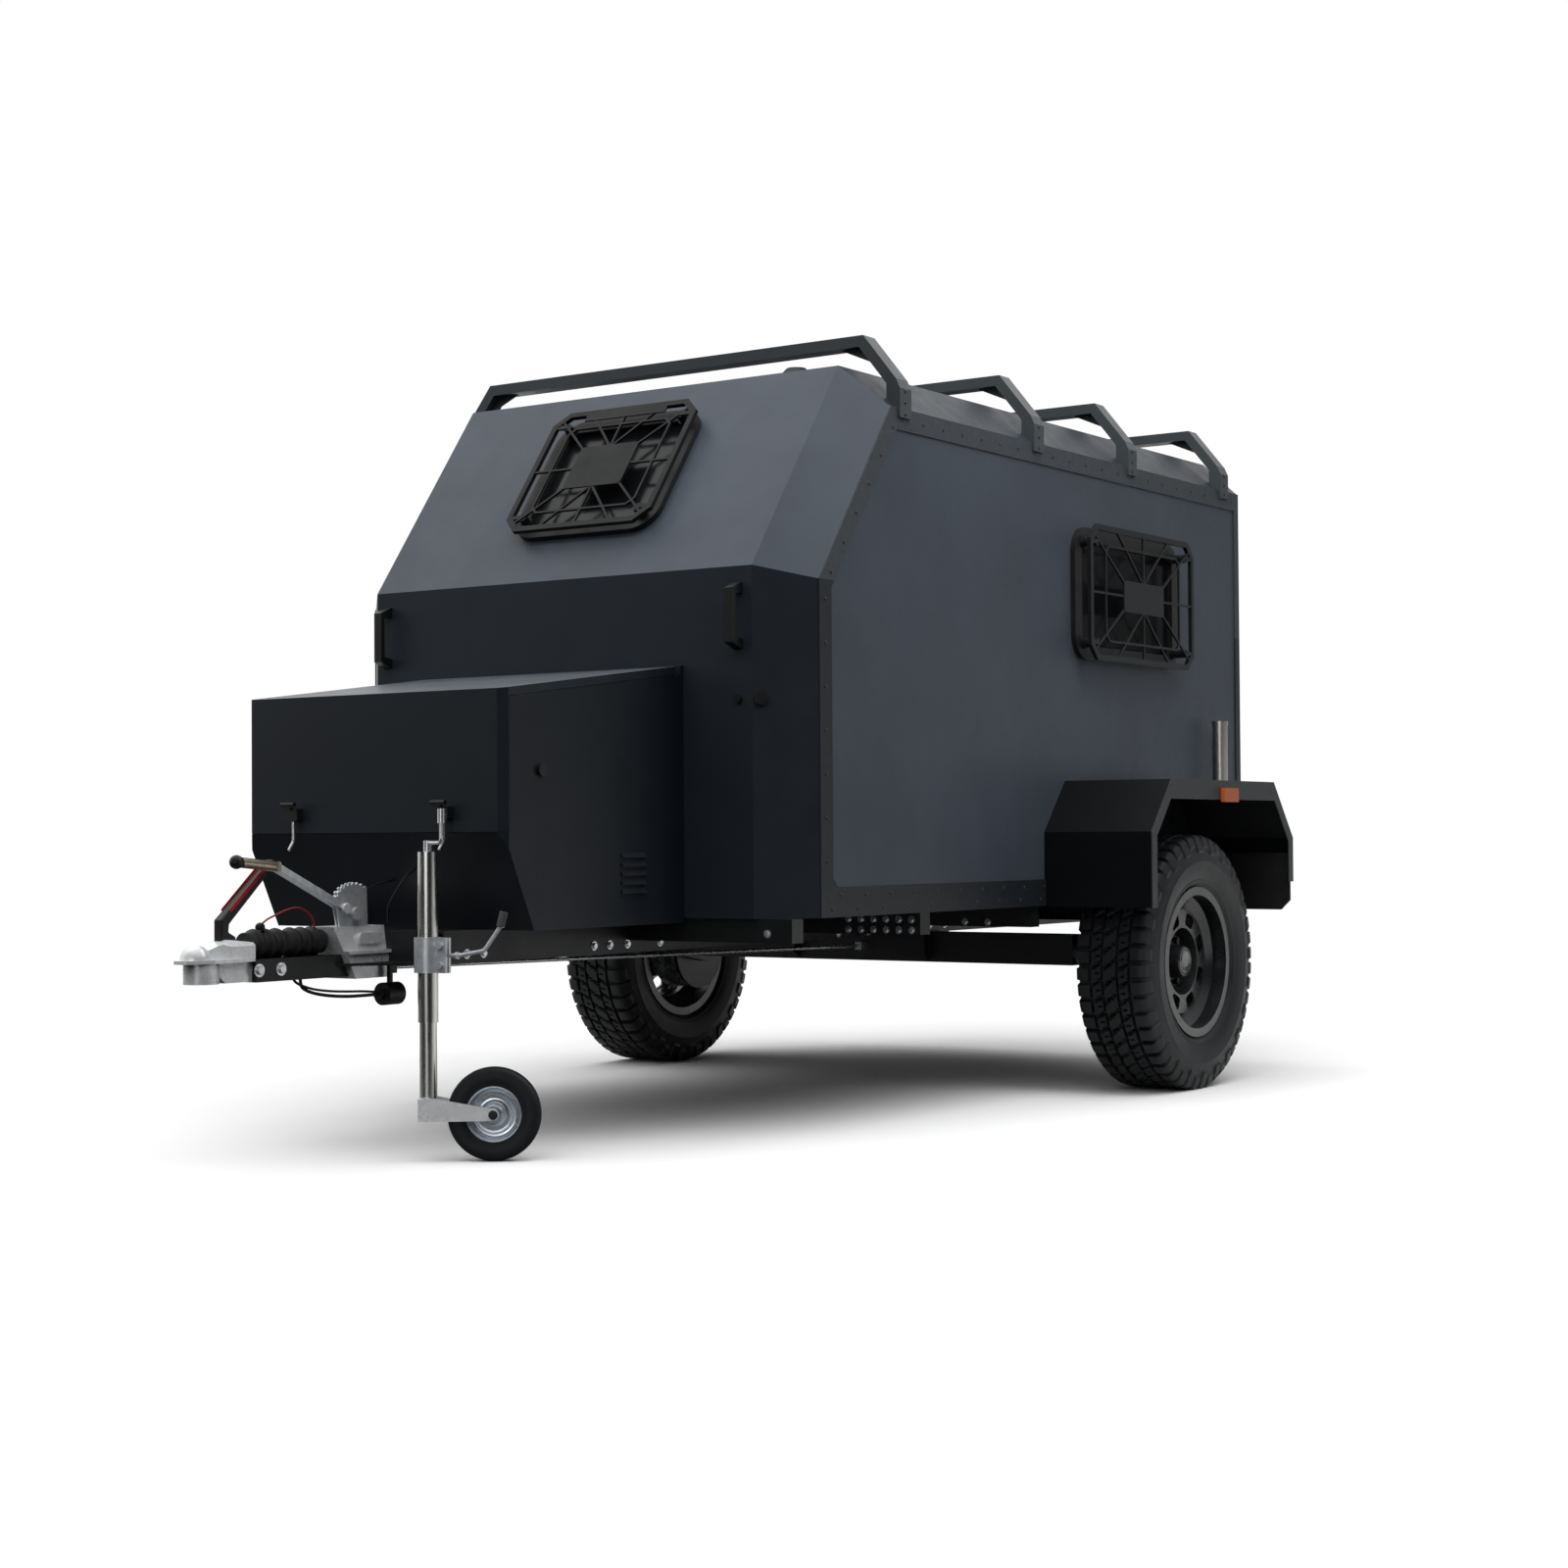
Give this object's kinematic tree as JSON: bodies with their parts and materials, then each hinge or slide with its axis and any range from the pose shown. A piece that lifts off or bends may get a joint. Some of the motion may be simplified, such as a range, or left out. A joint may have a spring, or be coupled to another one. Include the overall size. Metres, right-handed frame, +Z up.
{
  "type": "off-road cargo trailer",
  "caption": "Single-axle off-road box trailer with a faceted body, lidded nose box, guarded windows, roof hoops, overrun coupling and jockey wheel",
  "frame": {"origin": "on the ground, under the middle of the whole trailer's bounding box", "axes": "+X to the trailer's left side, +Y to its rear, +Z up"},
  "size_m": [2.22, 3.995, 2.084],
  "materials": {
    "body_grey": "satin",
    "body_dark": "satin",
    "trim_dark": "satin",
    "hoop_grey": "satin",
    "black_steel": "satin",
    "wheel_black": "gloss",
    "zinc": "zinc plated",
    "stainless": "brushed",
    "chrome": "polished",
    "tyre": "matte",
    "black_rubber": "matte",
    "black_plastic": "matte",
    "amber_lens": "gloss",
    "red_lens": "gloss",
    "window_glass": "tinted"
  },
  "bodies": {
    "trailer": {"floor": "body_dark", "front_wall": "body_dark", "front_slope": "body_grey", "side_left": "body_grey", "side_right": "body_grey", "roof": "body_dark", "rear_wall": "body_dark", "rear_hinges": "zinc", "edge_trims": "trim_dark", "window_frames": "black_rubber", "window_panes": "window_glass", "guard_front": "black_steel", "guard_left": "black_steel", "guard_right": "black_steel", "hoop_1": "hoop_grey", "hoop_2": "hoop_grey", "hoop_3": "hoop_grey", "hoop_4": "hoop_grey", "chassis_rails": "black_steel", "crossmembers": "black_steel", "drawbar": "black_steel", "axle_beam": "zinc", "suspension_arms": "zinc", "fender_left": "black_steel", "fender_right": "black_steel", "mudflaps": "black_rubber", "marker_lamps": "amber_lens", "tail_lamps": "red_lens", "nose_box": "body_dark", "grab_handles": "black_steel", "body_locks": "black_plastic", "coupling_head": "zinc", "coupling_handle": "black_plastic", "bellows": "black_rubber", "coupling_housing": "zinc", "handbrake": "zinc", "brake_rod": "zinc", "jockey_clamp": "zinc", "jockey_outer": "stainless", "jockey_crank": "zinc", "prop_clamps": "black_steel", "plug_lead": "black_rubber", "plug": "black_plastic"},
    "wheel_left": {"tyre_left": "tyre", "rim_left": "wheel_black", "hub_left": "zinc"},
    "wheel_right": {"tyre_right": "tyre", "rim_right": "wheel_black", "hub_right": "zinc"},
    "jockey_leg": {"jockey_inner": "stainless"},
    "jockey_caster": {"jockey_fork": "zinc"},
    "jockey_roller": {"jockey_tyre": "tyre", "jockey_rim": "zinc"},
    "lid": {"nose_lid": "body_dark", "lid_latches": "chrome"},
    "door": {"rear_door": "body_grey", "door_handle": "black_plastic"},
    "prop_stand_left": {"prop_left": "stainless"},
    "prop_stand_right": {"prop_right": "stainless"}
  },
  "joints": [
    {"name": "wheel_left_roll", "type": "hinge", "parent": "trailer", "child": "wheel_left", "pos_m": [0.9425, 1.0065, 0.3745], "axis": [1, 0, 0], "continuous": true},
    {"name": "wheel_right_roll", "type": "hinge", "parent": "trailer", "child": "wheel_right", "pos_m": [-0.9425, 1.0065, 0.3745], "axis": [1, 0, 0], "continuous": true},
    {"name": "jockey_lift", "type": "slide", "parent": "trailer", "child": "jockey_leg", "axis": [0, 0, 1], "range_m": [0, 0.15]},
    {"name": "jockey_swivel", "type": "hinge", "parent": "jockey_leg", "child": "jockey_caster", "pos_m": [0.2257, -1.4355, 0.15], "axis": [0, 0, 1], "continuous": true},
    {"name": "jockey_roll", "type": "hinge", "parent": "jockey_caster", "child": "jockey_roller", "pos_m": [0.353, -1.3488, 0.11], "axis": [-0.5631, 0.8264, 0], "continuous": true},
    {"name": "lid_hinge", "type": "hinge", "parent": "trailer", "child": "lid", "pos_m": [0, -0.7135, 1.1761], "axis": [-1, 0, 0], "range_deg": [0, 70]},
    {"name": "door_hinge", "type": "hinge", "parent": "trailer", "child": "door", "pos_m": [0.599, 1.9795, 1.229], "axis": [0, 0, -1], "range_deg": [0, 110]},
    {"name": "prop_left_slide", "type": "slide", "parent": "trailer", "child": "prop_stand_left", "axis": [0, 0, -1], "range_m": [0, 0.405]},
    {"name": "prop_right_slide", "type": "slide", "parent": "trailer", "child": "prop_stand_right", "axis": [0, 0, -1], "range_m": [0, 0.405]}
  ]
}
